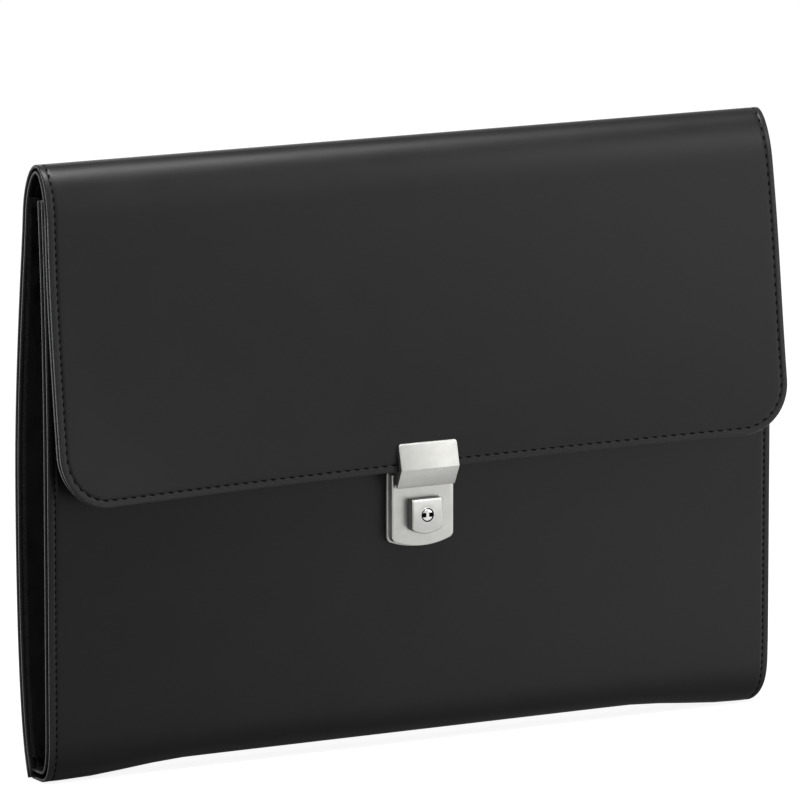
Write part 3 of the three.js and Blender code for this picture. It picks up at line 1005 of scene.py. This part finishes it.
def longLayer(layer, top, seamSide, material):
    length = outerPath["length"]
    whole = flatSheet(layer + "_long", length, top, outer["corner"], seamSide)
    layOut(whole, length, outer["corner"], longCuts(outerPath))
    for zone, first, last, bodies in zones:
        low = None if first is None else turnMarks[first]
        high = None if last is None else turnMarks[last]
        piece = cutOut(whole, zone + "_" + layer + "_sheet", low, high)
        foldUp(piece, outerPath)
        smooth(piece)
        paintSheet(piece, material)
        attach(piece, (low, high), bodies)
        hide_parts(nodeOf(zone, layer))
    bpy.data.objects.remove(whole)


def longSeams():
    edge = half - seamInset
    for zone, first, last, bodies in zones:
        low = stitch["endGap"] if first is None else turnMarks[first]
        high = outerPath["length"] if last is None else turnMarks[last]
        lines = [[(x, low), (x, high)] for x in (-edge, edge)]
        if zone == "flap":
            lines = seamLines(low, high, outer["corner"])
        places = []
        for line in lines:
            places += walkSeam(line, pitchOf(line))
        for side, top in ((1, 0), (-1, -depthOf(outerPath))):
            name = zone + ("_seam" if side > 0 else "_inner_seam")
            attach(sewSeam(name, places, top, side, outerPath), (low, high), bodies)


longLayer("leather", 0, 1, outsideLeather)
longLayer("lining", sheet["thickness"] - depthOf(outerPath), -1, insideLeather)
longSeams()
print("back, fold and flap made")


# pocket panel and the bottom: one sheet outside and one inside

pocket = {
    "step": 9,
    "bendStep": 1.2,
    "firstCut": 4,
    "blendHigh": 19,        # the bottom bends between these two heights
    "blendLow": 6,
}
pocketZones = [
    ("pocket", None, bendMark, ("pocket",)),
    ("bottom", bendMark, None, ("pocket", "shell")),
]


def pocketCuts(path):
    cuts = spread(pocket["firstCut"], bendMark, pocket["step"])
    return cuts + spread(bendMark, path["length"] - pocket["firstCut"], pocket["bendStep"])[1:]


def pocketLayer(layer, top, seamSide, material):
    length = frontPath["length"]
    whole = flatSheet(layer + "_front", length, top, 0, seamSide)
    layOut(whole, length, 0, pocketCuts(frontPath))
    for zone, low, high, bodies in pocketZones:
        piece = cutOut(whole, zone + "_" + layer + "_sheet", low, high)
        foldUp(piece, frontPath)
        smooth(piece)
        paintSheet(piece, material)
        joinBottom(piece, bodies)
        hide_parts(zone + "_" + layer)
    bpy.data.objects.remove(whole)


def joinBottom(piece, bodies):
    if len(bodies) == 1:
        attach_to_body(piece, bodies[0])
        return
    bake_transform(piece)


def pocketSeams():
    edge = half - seamInset
    pitch = stitch["pocketPitch"]
    for zone, low, high, bodies in pocketZones:
        low = seamInset if low is None else low
        high = frontPath["length"] - stitch["endGap"] if high is None else high
        places = []
        for x in (-edge, edge):
            places += walkSeam([(x, low), (x, high)], pitch)
        if zone == "pocket":
            places += walkSeam([(-edge + seamInset, low), (edge - seamInset, low)], pitch)
        for side, top in ((1, 0), (-1, -depthOf(frontPath))):
            name = zone + ("_seam" if side > 0 else "_inner_seam")
            joinBottom(sewSeam(name, places, top, side, frontPath), bodies)


pocketLayer("leather", 0, 1, outsideLeather)
pocketLayer("lining", sheet["thickness"] - depthOf(frontPath), -1, insideLeather)
pocketSeams()
print("pocket panel made")


# stiffening boards between the two layers

stiffener = {
    "inset": 12,
    "thickness": 1.2,
    "step": 6,
}


def makeBoard(name, path, low, high, body):
    top = (stiffener["thickness"] - depthOf(path)) / 2
    side = half - stiffener["inset"]
    piece = block(name + "_sheet", (-side, low, top - stiffener["thickness"]), (side, high, top))
    editPiece(piece)
    crossCuts(1, spread(low, high, stiffener["step"])[1:-1])
    crossCuts(0, spread(-side, side, sheet["across"])[1:-1])
    leaveEdit()
    foldUp(piece, path)
    smooth(piece, 40)
    paint(piece, board)
    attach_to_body(piece, body)
    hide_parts(name)


inset = stiffener["inset"]
makeBoard("back_board", outerPath, inset, turnMarks[0] - inset, "shell")
makeBoard("flap_board", outerPath, turnMarks[3] + inset, outerPath["length"] - inset, "flap")
makeBoard("pocket_board", frontPath, inset, bendMark - inset, "pocket")
print("boards made")


# gussets: a thin glossy sheet folded inwards between the two panels

gusset = {
    "inset": 1.6,
    "depth": 14,
    "thickness": 0.9,
    "foot": 9,
    "top": 250,
    "rows": 60,
    "columns": 24,
    "flatWidth": 45,
    "flatHeight": 245,
    "rimParts": (40, 240),  # the rim is one part in so many of its width and its height
    "panelGap": 0.35,
    "crest": 0.16,          # how much its fold is rounded
    "bulge": 0.9,
    "wave": 0.35,
    "waveLength": 17,
    "ripple": 0.2,
    "rippleLength": 6.3,
    "crumple": 1.1,         # of the leather that is pressed together at the foot
    "crumpleLength": 3.1,
    "crumpleFade": 9,
    "blendHeight": 130,
}


def innerY(path, z):
    # y of the inner side of a panel at a height
    points, walked = path["points"], path["walked"]
    standing = [i for i in range(0, len(points), 2) if path is frontPath or walked[i] < turnMarks[1]]
    nearest = min(standing, key=lambda i: abs(points[i][1] - z))
    place, way = atPath(path, walked[nearest])
    return place.x - (depthOf(path) + gusset["panelGap"]) * way.y


def gussetPoint(share, height, side):
    z = gusset["foot"] + (gusset["top"] - gusset["foot"]) * height
    back = innerY(outerPath, z)
    front = innerY(frontPath, max(z, bottomBend + 1))
    y = back + (front - back) * share
    fold = 1 - abs(2 * share - 1)
    swell = math.sin(math.pi * fold)
    rounded = fold - gusset["crest"] * fold ** 6 + gusset["bulge"] / gusset["depth"] * swell
    wave = gusset["wave"] * math.sin(z / gusset["waveLength"] + side) * swell
    ripple = gusset["ripple"] * math.sin(z / gusset["rippleLength"] + 2 * share)
    fade = math.exp(-height * gusset["crumpleFade"])
    crumple = gusset["crumple"] * fade * math.sin(z / gusset["crumpleLength"] + 5 * share)
    x = half - gusset["inset"] - gusset["depth"] * rounded + (wave + ripple + crumple) * fold
    return Vector((side * x, y + crownY, z + liftAt(x, z))) * mm


def makeGusset(name, side):
    startClean()
    columns, rows = gusset["columns"], gusset["rows"]
    bpy.ops.mesh.primitive_grid_add(x_subdivisions=columns, y_subdivisions=rows, size=1)
    piece = bpy.context.active_object
    piece.name = name + "_sheet"
    uv = piece.data.uv_layers[0]
    uv.name = "flat"
    width, height = gusset["flatWidth"] * mm, gusset["flatHeight"] * mm
    for loop in piece.data.loops:
        place = piece.data.vertices[loop.vertex_index].co
        uv.data[loop.index].uv = ((place.x + 0.5) * width, (place.y + 0.5) * height)
    rim = piece.data.attributes.new("rim", "FLOAT", "POINT")
    acrossParts, upParts = gusset["rimParts"]
    for vertex in piece.data.vertices:
        across = vertex.co.x + 0.5
        up = vertex.co.y + 0.5
        toSide = min(across, 1 - across) * acrossParts
        rim.data[vertex.index].value = min(toSide, (1 - up) * upParts, 1)
        vertex.co = gussetPoint(across, up, side)
    finishModifier(piece, "SOLIDIFY", thickness=gusset["thickness"] * mm, offset=0, use_even_offset=True)
    editPiece(piece)
    bpy.ops.mesh.select_all(action="SELECT")
    bpy.ops.mesh.normals_make_consistent(inside=False)
    leaveEdit()
    smooth(piece, 50)
    paint(piece, gussetLeather)
    z = gusset["blendHeight"]
    back = (0, (innerY(outerPath, z) + crownY) * mm, z * mm)
    front = (0, (innerY(frontPath, z) + crownY) * mm, z * mm)
    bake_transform(piece)
    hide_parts(name)


makeGusset("gusset_left", -1)
makeGusset("gusset_right", 1)
print("gussets made")


# lock and hasp: plates that face the front, in millimetres

def cadBox(nodeName):
    low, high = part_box(nodeName)
    return [v / mm for v in low], [v / mm for v in high]


plate = {
    "columns": 22,
    "cornerSteps": 5,
    "rimSteps": 3,
}


def shieldPlate(name, low, high, form):
    # a plate whose lower side is an arc, with rounded corners and rims
    piece = block(name, low, high)
    wide, sag = high[0] - low[0], form["sag"]
    radius = (wide * wide / 4 + sag * sag) / (2 * sag)
    editPiece(piece)
    crossCuts(0, spread(low[0], high[0], wide / plate["columns"])[1:-1])
    shape = bmesh.from_edit_mesh(piece.data)
    for vertex in shape.verts:
        if vertex.co.z < (low[2] + 0.01) * mm:
            x = vertex.co.x / mm
            vertex.co.z += (radius - math.sqrt(radius * radius - x * x)) * mm
    bmesh.update_edit_mesh(piece.data)

    def atCorner(e, isBottom):
        across = abs(e.verts[0].co.y - e.verts[1].co.y) > 0.5 * (high[1] - low[1]) * mm
        atSide = abs(abs(e.verts[0].co.x) - wide / 2 * mm) < 0.01 * mm
        isLow = e.verts[0].co.z < (low[2] + sag + 1) * mm
        return across and atSide and isLow == isBottom

    def atFrontRim(e):
        flat = all(abs(v.co.y - low[1] * mm) < 0.01 * mm for v in e.verts)
        return flat and any(abs(f.normal.y) < 0.5 for f in e.link_faces)

    roundRims(piece, lambda e: atCorner(e, True), form["corner"], plate["cornerSteps"])
    roundRims(piece, lambda e: atCorner(e, False), form["topCorner"], plate["cornerSteps"])
    roundRims(piece, atFrontRim, form["rim"], plate["rimSteps"])
    leaveEdit()
    return piece


pastMetal = 1               # how far a cutter runs out of the metal


def cutAway(piece, cutter):
    finishModifier(piece, "BOOLEAN", operation="DIFFERENCE", object=cutter, solver="EXACT")
    bpy.data.objects.remove(cutter)


def cutBox(piece, low, high):
    cutAway(piece, block("cutter", low, high))


def sideFinishAndShade(piece, front, material):
    # the plated front is polished; the standing sides get a rougher second material, which on the button
    # is also dark as painted shade
    piece.data.materials.append(material)
    for face in piece.data.polygons:
        if abs(face.normal.y) < 0.5 and face.center.y > (front - 0.05) * mm:
            face.material_index = 1


def fit(piece, material, body, nodeName):
    smooth(piece, 30)
    paint(piece, material)
    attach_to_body(piece, body)
    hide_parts(nodeName)


lock = {
    "plate": {"sag": 3.2, "corner": 2.2, "topCorner": 1.5, "rim": 0.35},
    "housing": {"sag": 3.2, "corner": 1.9, "topCorner": 0.8, "rim": 0.45},
    "catchPocketWall": 1.6,
    "catchPocketDrop": 4.7,
    "recessWide": 14.9,
    "recessDepth": 0.4,
    "recessLow": -4,
    "recessHigh": 7.5,
    "slotWide": 8.6,
    "slotLow": -6.7,
    "slotHigh": 7.0,
    "slotWall": 0.9,        # left behind the slot for the button's stem
}


def cylinderCentre():
    low, high = cadBox("cylinder_barrel")
    return (low[2] + high[2]) / 2


def makeLockPlate():
    low, high = cadBox("lock_plate")
    piece = shieldPlate("lock_plate_formed", low, high, lock["plate"])
    fit(piece, brushed, "pocket", "lock_plate")


def makeLockHousing():
    low, high = cadBox("lock_housing")
    front, back, top = low[1], high[1], high[2]
    piece = shieldPlate("lock_housing_formed", low, high, lock["housing"])
    wall, ahead = lock["catchPocketWall"], front - pastMetal
    pocketLow = (low[0] + wall, ahead, top - lock["catchPocketDrop"])
    cutBox(piece, pocketLow, (high[0] - wall, back + pastMetal, top + pastMetal))
    centre = cylinderCentre()
    side = lock["recessWide"] / 2
    recessHigh = (side, front + lock["recessDepth"], centre + lock["recessHigh"])
    cutBox(piece, (-side, ahead, centre + lock["recessLow"]), recessHigh)
    side = lock["slotWide"] / 2
    slotHigh = (side, back - lock["slotWall"], centre + lock["slotHigh"])
    cutBox(piece, (-side, ahead, centre + lock["slotLow"]), slotHigh)
    fit(piece, nickel, "pocket", "lock_housing")
    sideFinishAndShade(piece, front + lock["housing"]["rim"], brushed)


button = {
    "form": {"sag": 2.2, "corner": 1.1, "topCorner": 0.5, "rim": 0.55},
    "gap": 0.3,             # between the button and the housing
    "topRim": 1.3,
    "topReach": 0.7,
    "creaseRise": 4.6,
    "creaseReach": 0.55,
    "frontDepth": 1.2,      # of the part that the crease and the top rim slant
    "boreRadius": 3.25,
    "boreReach": 6,
    "stemSide": 4,
    "stemLow": -3.4,
    "stemHigh": 6.6,
    "stemOverlap": 0.5,
    "stemRim": 0.4,
}


def makeButton():
    low, high = cadBox("lock_button")
    front, top = low[1], high[2]
    housingFront = cadBox("lock_housing")[0][1]
    faceHigh = (high[0], housingFront - button["gap"], top)
    piece = shieldPlate("lock_button_formed", low, faceHigh, button["form"])
    editPiece(piece)
    crease, topRim = low[2] + button["creaseRise"], top - button["topRim"]
    crossCuts(2, [crease, topRim])
    shape = bmesh.from_edit_mesh(piece.data)
    for vertex in shape.verts:
        if vertex.co.y < (front + button["frontDepth"]) * mm:
            below = max(crease - vertex.co.z / mm, 0)
            above = max(vertex.co.z / mm - topRim, 0)
            vertex.co.y += button["creaseReach"] * mm * below / button["creaseRise"]
            vertex.co.y += button["topReach"] * mm * above / button["topRim"]
    bmesh.update_edit_mesh(piece.data)
    leaveEdit()
    centre = cylinderCentre()
    reach = button["boreReach"]
    cutAway(piece, roundBar("bore", button["boreRadius"], front + reach, front - reach, centre))
    fit(piece, nickel, "slide", "lock_button")
    # the button's standing sides are painted dark as their shade
    sideFinishAndShade(piece, front + button["form"]["rim"], shadedSideNickel)
    side = button["stemSide"]
    stemLow = (-side, housingFront - button["stemOverlap"], centre + button["stemLow"])
    stem = block("button_stem", stemLow, (side, high[1], centre + button["stemHigh"]))
    editPiece(stem)
    roundRims(stem, lambda e: True, button["stemRim"], 2)
    leaveEdit()
    smooth(stem, 30)
    paint(stem, nickel)
    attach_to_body(stem, "slide")


cylinder = {
    "sides": 48,
    "ringWall": 0.22,
    "ringRim": 0.15,
    "ringProud": 0.1,
    "boreRim": 0.05,
    "plugRadius": 2.6,
    "postWidth": 1.3,
    "notchHeight": 1.9,
    "notchDepth": 3.4,
    "plugProud": 0.35,
    "dome": 0.3,
}


def roundBar(name, radius, back, front, centre):
    # a round bar along y
    startClean()
    bpy.ops.mesh.primitive_cylinder_add(
        vertices=cylinder["sides"], radius=radius * mm, depth=(back - front) * mm,
        location=(0, (back + front) / 2 * mm, centre * mm), rotation=(math.radians(90), 0, 0),
    )
    piece = bpy.context.active_object
    piece.name = name
    bpy.ops.object.transform_apply(location=True, rotation=True, scale=True)
    return piece


def turned(name, radius, back, front, centre, rim):
    # a round bar with a rounded front rim
    piece = roundBar(name, radius, back, front, centre)
    editPiece(piece)
    roundRims(piece, lambda e: all(v.co.y < (front + 0.01) * mm for v in e.verts), rim, plate["rimSteps"])
    leaveEdit()
    return piece


def paintWallShade(piece, centre, insideOnly):
    # the walls of the gap and of the keyhole are painted near black as their shade
    piece.data.materials.append(keyholeShade)
    for face in piece.data.polygons:
        outwards = face.normal.x * face.center.x + face.normal.z * (face.center.z - centre * mm)
        if abs(face.normal.y) < 0.3 and not (insideOnly and outwards > 0):
            face.material_index = 1


def makeCylinder():
    low, high = cadBox("cylinder_barrel")
    front, back = low[1] - cylinder["ringProud"], high[1]
    centre = cylinderCentre()
    radius = (high[0] - low[0]) / 2
    ring = turned("cylinder_ring", radius, back, front, centre, cylinder["ringRim"])
    inside, ahead = radius - cylinder["ringWall"], low[1] - pastMetal
    cutAway(ring, turned("ring_bore", inside, back + pastMetal, ahead, centre, cylinder["boreRim"]))
    fit(ring, chrome, "slide", "cylinder_barrel")
    paintWallShade(ring, centre, True)
    plugLow, plugHigh = cadBox("key_plug")
    front = plugLow[1] - cylinder["plugProud"]
    radius = cylinder["plugRadius"]
    plug = turned("key_plug_formed", radius, plugHigh[1], front, centre, cylinder["dome"])
    tall = cylinder["notchHeight"] / 2
    for side in (-1, 1):
        left, right = sorted((side * cylinder["postWidth"] / 2, side * (radius + pastMetal)))
        notchHigh = (right, front + cylinder["notchDepth"], centre + tall)
        cutBox(plug, (left, front - pastMetal, centre - tall), notchHigh)
    fit(plug, chrome, "key_cylinder", "key_plug")
    paintWallShade(plug, centre, False)


hasp = {
    "thickness": 1.6,
    "ridgeRise": 0.8,
    "ridgeReach": 2.6,
    "ridgeThicker": 1.1,
    "lipReturn": 4.2,
    "lipThinner": 1.7,
    "lipEndRise": 0.4,
    "corner": 1.3,
    "rim": 0.32,
}


def makeHasp():
    # bent from a flat strip: two slanted faces that meet in a ridge
    low, high = cadBox("hasp_plate")
    ridge = flapEdge + hasp["ridgeRise"]
    front = low[1] + hasp["ridgeReach"]
    thickness = hasp["thickness"]
    piece = block("hasp_plate_formed", (low[0], front, low[2]), (high[0], front + thickness, high[2]))
    editPiece(piece)
    crossCuts(2, [ridge])

    def topCorner(e):
        across = abs(e.verts[0].co.y - e.verts[1].co.y) > mm
        return across and all(v.co.z > (high[2] - 0.01) * mm for v in e.verts)

    roundRims(piece, topCorner, hasp["corner"], plate["cornerSteps"])
    shape = bmesh.from_edit_mesh(piece.data)
    for vertex in shape.verts:
        z = vertex.co.z / mm
        isBack = vertex.co.y > (front + thickness / 2) * mm
        if z > ridge:
            share = (high[2] - z) / (high[2] - ridge)
            forwards = hasp["ridgeReach"] * share
            thicker = hasp["ridgeThicker"] * share
        else:
            share = (ridge - z) / (ridge - low[2])
            forwards = hasp["ridgeReach"] - hasp["lipReturn"] * share
            thicker = hasp["ridgeThicker"] - hasp["lipThinner"] * share
            if isBack:
                vertex.co.z += hasp["lipEndRise"] * share * mm
        vertex.co.y += ((thicker if isBack else 0) - forwards) * mm
    bmesh.update_edit_mesh(piece.data)
    leaveEdit()
    finishModifier(
        piece, "BEVEL", width=hasp["rim"] * mm, segments=3, limit_method="ANGLE",
        angle_limit=math.radians(40),
    )
    fit(piece, nickel, "flap", "hasp_plate")


makeLockPlate()
makeLockHousing()
makeButton()
makeCylinder()
makeHasp()
print("lock and hasp made")


# camera, light and floor

view = {
    "azimuth": -29,
    "elevation": 10.05,
    "distance": 3.82,
    "lens": 398,
    "sensor": 36,
    "reach": 50,            # how far the camera sees, in metres
    "target": (-1.2, 4.1, 149.3),
}


def makeCamera():
    azimuth = math.radians(view["azimuth"])
    elevation = math.radians(view["elevation"])
    back = Vector((
        math.sin(azimuth) * math.cos(elevation),
        -math.cos(azimuth) * math.cos(elevation),
        math.sin(elevation),
    ))
    camera = bpy.data.objects.new("camera", bpy.data.cameras.new("camera"))
    bpy.context.collection.objects.link(camera)
    camera.data.sensor_width = view["sensor"]
    camera.data.lens = view["lens"]
    camera.data.clip_end = view["reach"]
    camera.location = Vector(view["target"]) * mm + back * view["distance"]
    camera.rotation_euler = (-back).to_track_quat("-Z", "Y").to_euler()
    bpy.context.scene.camera = camera


lightAim = Vector((0, 0, 0.13))
lights = [
    # name, place, size, power
    ("top_strip", (-0.1, -0.42, 1.45), (1.5, 0.42), 36),
    ("front_left", (-2.2, -0.6, 0.8), (0.4, 1.4), 10),
    ("front_right", (0.91, -1.63, 0.65), (1.2, 1.0), 2.9),
    ("near_right", (1.0, -0.95, 0.18), (0.7, 0.6), 1.5),
    ("high_right", (0.67, -0.66, 0.64), (0.3, 0.3), 1.3),
    ("back_top", (0.3, 1.8, 1.6), (1.6, 1.0), 7),
]


def makeLights():
    for name, place, size, power in lights:
        lamp = bpy.data.lights.new(name, "AREA")
        lamp.shape = "RECTANGLE"
        lamp.size, lamp.size_y = size
        lamp.energy = power
        carrier = bpy.data.objects.new(name, lamp)
        bpy.context.collection.objects.link(carrier)
        carrier.location = place
        carrier.rotation_euler = (lightAim - Vector(place)).to_track_quat("-Z", "Y").to_euler()


def rayKinds(nodes, links):
    # one for rays from the camera, and one for rays from a mirror or glass
    path = nodes.new("ShaderNodeLightPath")
    glossy, through = path.outputs["Is Glossy Ray"], path.outputs["Is Transmission Ray"]
    return path.outputs["Is Camera Ray"], maths(nodes, links, "MAXIMUM", glossy, through)


studio = {
    "plainLevel": 0.35,
    "seenLevel": 1,
}


def makeWorld():
    world = bpy.data.worlds.new("studio")
    bpy.context.scene.world = world
    world.use_nodes = True
    nodes, links = world.node_tree.nodes, world.node_tree.links
    plain = nodes["Background"]
    plain.inputs["Color"].default_value = (1, 1, 1, 1)
    plain.inputs["Strength"].default_value = studio["plainLevel"]
    white = nodes.new("ShaderNodeBackground")
    white.inputs["Strength"].default_value = studio["seenLevel"]
    either = nodes.new("ShaderNodeMixShader")
    seen, mirrored = rayKinds(nodes, links)
    links.new(maths(nodes, links, "MAXIMUM", seen, mirrored), either.inputs["Fac"])
    links.new(plain.outputs[0], either.inputs[1])
    links.new(white.outputs[0], either.inputs[2])
    links.new(either.outputs[0], nodes["World Output"].inputs["Surface"])


floorLook = {
    "size": 40,
    "drop": 0.0002,
    "colour": 0.2,
    "glow": 0.9,                  # its tone, as the camera and mirrors see it
    "shadeReach": (0.0, 0.09),    # metres from the folder
    "shadeLevels": (0.2, 1.0),
    "sideSlant": 0.55,            # follows the line of sight as the folder's front mirrors it
    "sidePlaces": (-0.35, 0.35),
    "sideLevels": (0.4, 1.6),
}


def floorLevel(nodes, links):
    # the mirrored floor is dim beside the folder, and brighter on its right than on its left
    where = nodes.new("ShaderNodeTexCoord")
    parts = nodes.new("ShaderNodeSeparateXYZ")
    links.new(where.outputs["Object"], parts.inputs[0])
    x, y = parts.outputs["X"], parts.outputs["Y"]
    side = maths(nodes, links, "MULTIPLY_ADD", y, floorLook["sideSlant"], x)
    sideLevel = between(nodes, links, side, floorLook["sidePlaces"], floorLook["sideLevels"])
    past = maths(nodes, links, "SUBTRACT", maths(nodes, links, "ABSOLUTE", x), half * mm)
    away = nodes.new("ShaderNodeCombineXYZ")
    links.new(maths(nodes, links, "MAXIMUM", past, 0.0), away.inputs["X"])
    links.new(y, away.inputs["Y"])
    distance = nodes.new("ShaderNodeVectorMath")
    distance.operation = "LENGTH"
    links.new(away.outputs[0], distance.inputs[0])
    distance = distance.outputs["Value"]
    shade = between(nodes, links, distance, floorLook["shadeReach"], floorLook["shadeLevels"])
    return maths(nodes, links, "MULTIPLY", sideLevel, shade)


def makeFloor():
    startClean()
    bpy.ops.mesh.primitive_plane_add(size=floorLook["size"], location=(0, 0, -floorLook["drop"]))
    floor = bpy.context.active_object
    floor.name = "floor"
    bpy.ops.object.transform_apply(location=True, rotation=True, scale=True)
    material, nodes, links, shader = newMaterial("pale_floor")
    shader.inputs["Base Color"].default_value = (floorLook["colour"],) * 3 + (1,)
    shader.inputs["Roughness"].default_value = 1
    shader.inputs["Specular IOR Level"].default_value = 0
    seen, mirrored = rayKinds(nodes, links)
    mirrored = maths(nodes, links, "MULTIPLY", mirrored, floorLevel(nodes, links))
    glow = nodes.new("ShaderNodeEmission")
    glow.inputs["Color"].default_value = (floorLook["glow"],) * 3 + (1,)
    links.new(maths(nodes, links, "ADD", seen, mirrored), glow.inputs["Strength"])
    together = nodes.new("ShaderNodeAddShader")
    links.new(shader.outputs[0], together.inputs[0])
    links.new(glow.outputs[0], together.inputs[1])
    links.new(together.outputs[0], nodes["Material Output"].inputs["Surface"])
    floor.data.materials.append(material)


makeCamera()
makeLights()
makeWorld()
makeFloor()
bpy.context.scene.view_settings.view_transform = "Standard"
print("camera, light and floor made")
